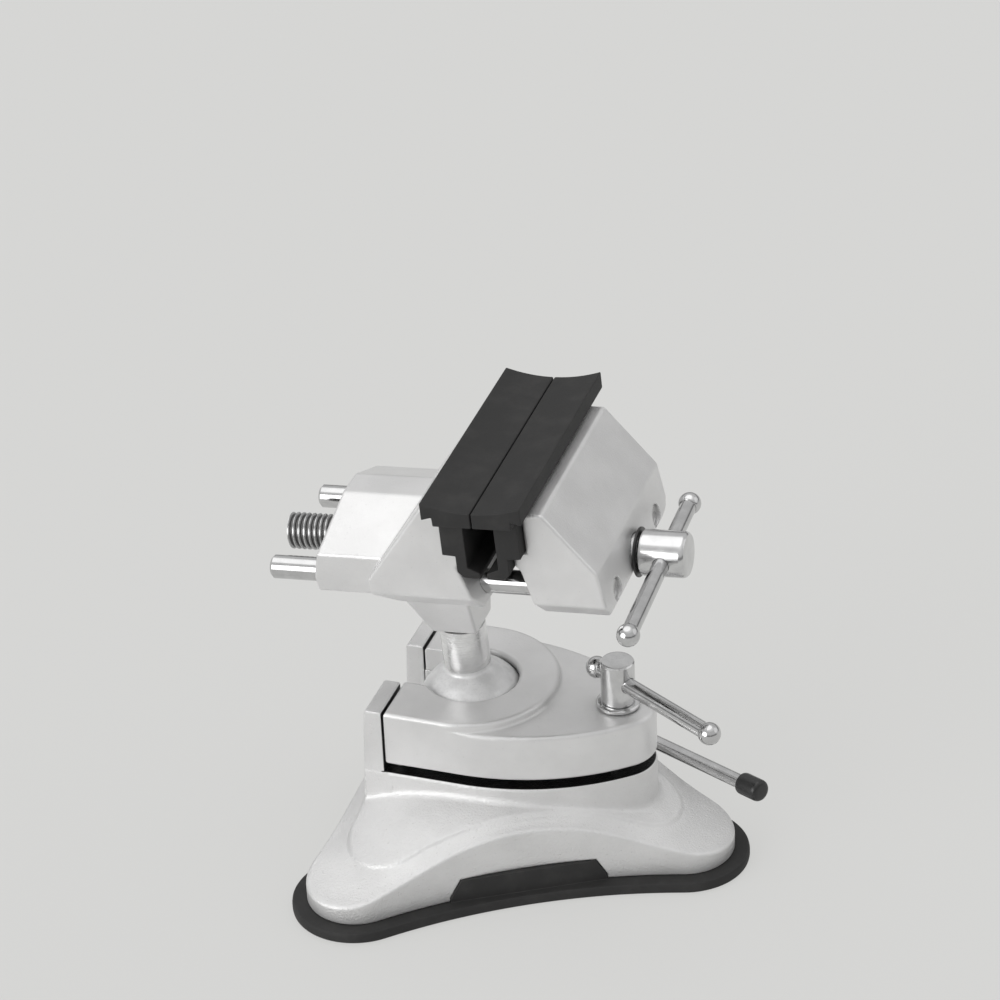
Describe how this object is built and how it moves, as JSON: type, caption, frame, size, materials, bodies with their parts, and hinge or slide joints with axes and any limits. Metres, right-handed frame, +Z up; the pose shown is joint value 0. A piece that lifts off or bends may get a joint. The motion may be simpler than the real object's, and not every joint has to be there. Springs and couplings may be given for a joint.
{
  "type": "suction base vise",
  "caption": "Small bench vise on a three-lobed vacuum base: ball joint under a clamp plate, rod-guided moving jaw on a lead screw, slip-on rubber jaw covers.",
  "frame": {"origin": "centre of the three-lobed base, on the table", "axes": "+Z up, +X through the clamp screw and its lobe, +Y to the lever's side"},
  "size_m": [0.1268, 0.1228, 0.1227],
  "materials": {
    "cast_silver": "cast aluminium with a fine silver lacquer",
    "machined": "turned, bright, with fine rings",
    "chrome": "bright chrome plate",
    "steel": "zinc-plated steel",
    "black_plastic": "black moulded plastic",
    "rubber": "matt black rubber"
  },
  "bodies": {
    "base": {"base_casting": "cast_silver", "suction_pad": "rubber"},
    "cam_lever": {"cam_shaft": "chrome", "cam_clip": "steel", "lever_rod": "chrome", "lever_cap": "black_plastic"},
    "pad_lift": {"pad_stud": "steel"},
    "clamp": {"clamp_plate": "cast_silver"},
    "clamp_rise": {"clamp_washer": "chrome"},
    "clamp_turn": {"clamp_screw": "chrome"},
    "clamp_handle": {"clamp_bar": "chrome", "clamp_knobs": "chrome"},
    "ball": {"ball_stem": "machined"},
    "head": {"fixed_jaw": "cast_silver", "fixed_cover": "rubber"},
    "slide_jaw": {"moving_jaw": "cast_silver", "moving_cover": "rubber", "guide_rods": "chrome"},
    "lead": {"lead_screw": "steel", "lead_washer": "black_plastic", "lead_clip": "steel"},
    "lead_handle": {"lead_bar": "chrome", "lead_knobs": "chrome"}
  },
  "joints": [
    {"name": "lever_swing", "type": "hinge", "parent": "base", "child": "cam_lever", "pos_m": [0, 0, 0.0135], "axis": [-0.5, -0.866, 0], "range_deg": [0, 168]},
    {"name": "pad_lift", "type": "slide", "parent": "base", "child": "pad_lift", "axis": [0, 0, 1], "range_m": [0, 0.002]},
    {"name": "clamp_turn", "type": "hinge", "parent": "clamp_rise", "child": "clamp_turn", "pos_m": [0.0333, 0, 0.05], "axis": [0, 0, 1], "range_deg": [0, 165]},
    {"name": "clamp_rise", "type": "slide", "parent": "base", "child": "clamp_rise", "axis": [0, 0, 1], "range_m": [0, 0.0005739]},
    {"name": "plate_tilt", "type": "hinge", "parent": "base", "child": "clamp", "pos_m": [-0.0202, 0, 0.0399], "axis": [0, -1, 0], "range_deg": [0, 0.551]},
    {"name": "clamp_bar_slide", "type": "slide", "parent": "clamp_turn", "child": "clamp_handle", "axis": [0.8616, -0.5075, 0], "range_m": [-0.0267, 0.0003]},
    {"name": "ball_tilt", "type": "hinge", "parent": "base", "child": "ball", "pos_m": [-0.007, 0, 0.0363], "axis": [0, 1, 0], "range_deg": [-30.5, 16.5]},
    {"name": "head_turn", "type": "hinge", "parent": "ball", "child": "head", "pos_m": [-0.007, 0, 0.0363], "axis": [-0.0785, 0, 0.9969], "continuous": true},
    {"name": "jaw_slide", "type": "slide", "parent": "head", "child": "slide_jaw", "axis": [0.9967, 0.0209, 0.0784], "range_m": [0, 0.0495]},
    {"name": "lead_turn", "type": "hinge", "parent": "slide_jaw", "child": "lead", "pos_m": [0.03876, 0.00105, 0.09206], "axis": [-0.9967, -0.0209, -0.0784], "range_deg": [0, 11880]},
    {"name": "lead_bar_slide", "type": "slide", "parent": "lead", "child": "lead_handle", "axis": [-0.0246, 0.9987, 0.0453], "range_m": [-0.0142, 0.027]}
  ],
  "couplings": [
    {"joint": "pad_lift", "follows": "lever_swing", "m_per_rad": 0.00068209},
    {"joint": "clamp_rise", "follows": "clamp_turn", "m_per_rad": 0.00019894},
    {"joint": "plate_tilt", "follows": "clamp_turn", "ratio": 0.0033333},
    {"joint": "lead_turn", "follows": "jaw_slide", "rad_per_m": 4188.8}
  ]
}
